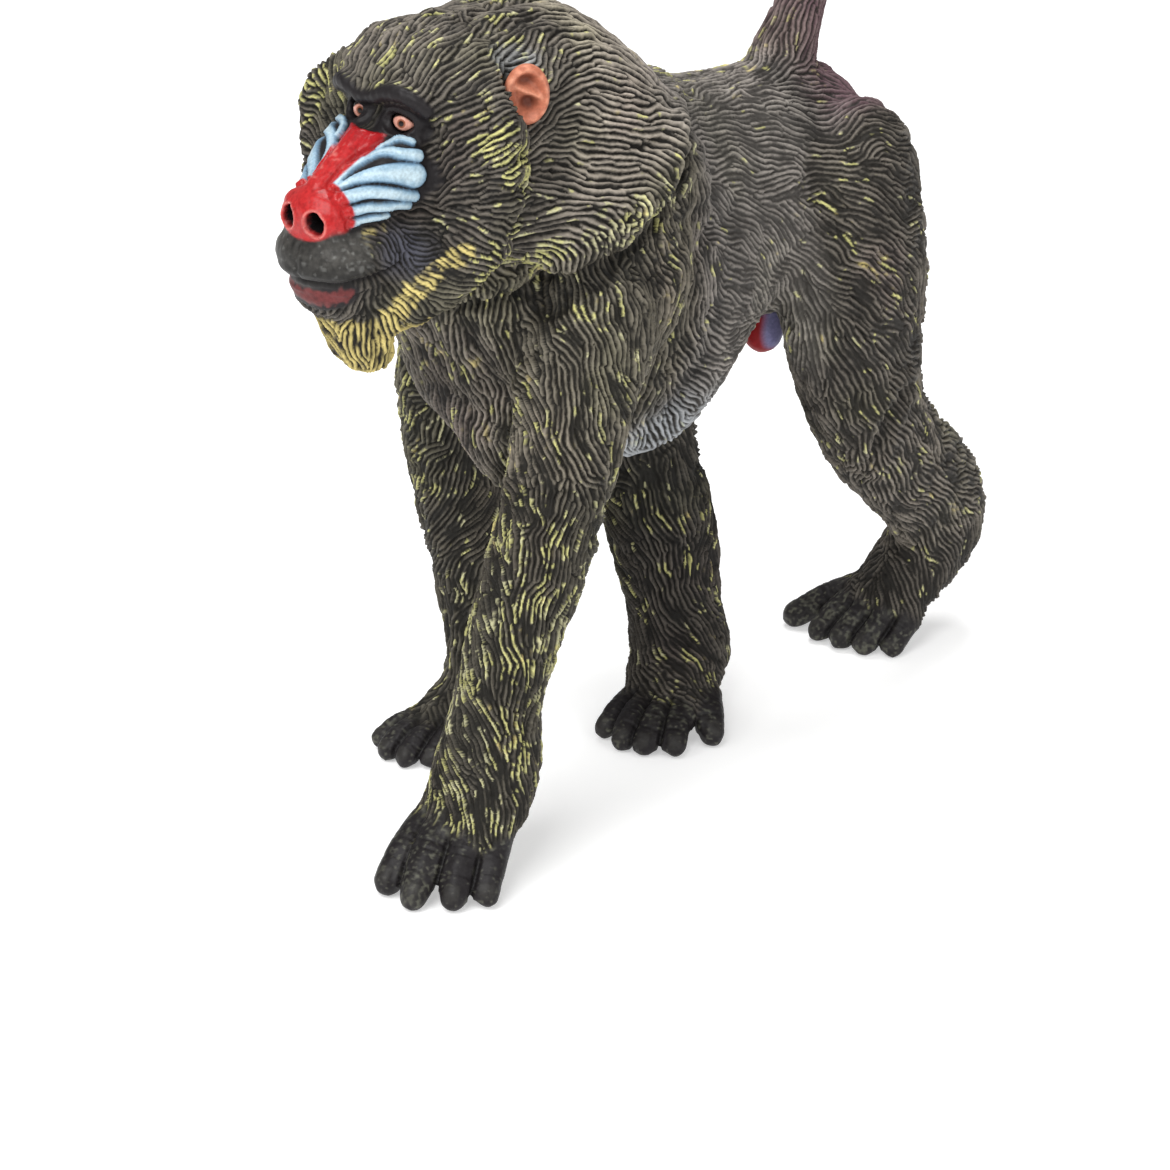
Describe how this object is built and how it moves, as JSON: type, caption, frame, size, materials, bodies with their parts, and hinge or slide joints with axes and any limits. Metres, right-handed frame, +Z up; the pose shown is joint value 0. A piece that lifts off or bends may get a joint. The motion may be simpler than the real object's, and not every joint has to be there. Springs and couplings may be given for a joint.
{
  "type": "toy mandrill figurine",
  "caption": "Painted plastic toy figurine of a male mandrill in mid-stride on all fours, with a mane, a long ridged muzzle, cupped ears and a short raised tail; stands on hands and feet.",
  "frame": {"origin": "middle of the figurine's footprint box, on the floor that it stands on", "axes": "+Z up, -Y the way the figurine faces and walks, +X its left side"},
  "size_m": [0.0298, 0.0776, 0.0703],
  "materials": {
    "body_fur": "matt dark olive-brown paint, dry-brushed grey and yellow-green on sculpted fur",
    "mane_fur": "matt olive-brown paint, dry-brushed yellow-green on sculpted locks",
    "muzzle_paint": "satin light blue cheeks beside a glossy red nose and ridge",
    "beard_paint": "matt yellow paint on sculpted fur",
    "eye_gloss": "glossy painted eye with a dark pupil",
    "ear_paint": "satin salmon paint",
    "rump_paint": "matt mauve wash over dark fur",
    "patch_paint": "satin lilac-blue paint with a red part",
    "bare_skin": "satin near-black paint"
  },
  "bodies": {
    "root": {"head": "mane_fur", "mane": "mane_fur", "muzzle": "muzzle_paint", "jaw": "beard_paint", "eye_left": "eye_gloss", "eye_right": "eye_gloss", "ear_left": "ear_paint", "ear_right": "ear_paint", "chest": "body_fur", "abdomen": "body_fur", "rump": "rump_paint", "tail": "rump_paint", "genital_patch": "patch_paint", "upper_arm_left": "body_fur", "forearm_left": "body_fur", "hand_left": "bare_skin", "upper_arm_right": "body_fur", "forearm_right": "body_fur", "hand_right": "bare_skin", "thigh_left": "body_fur", "shank_left": "body_fur", "foot_left": "bare_skin", "thigh_right": "body_fur", "shank_right": "body_fur", "foot_right": "bare_skin"}
  },
  "joints": []
}
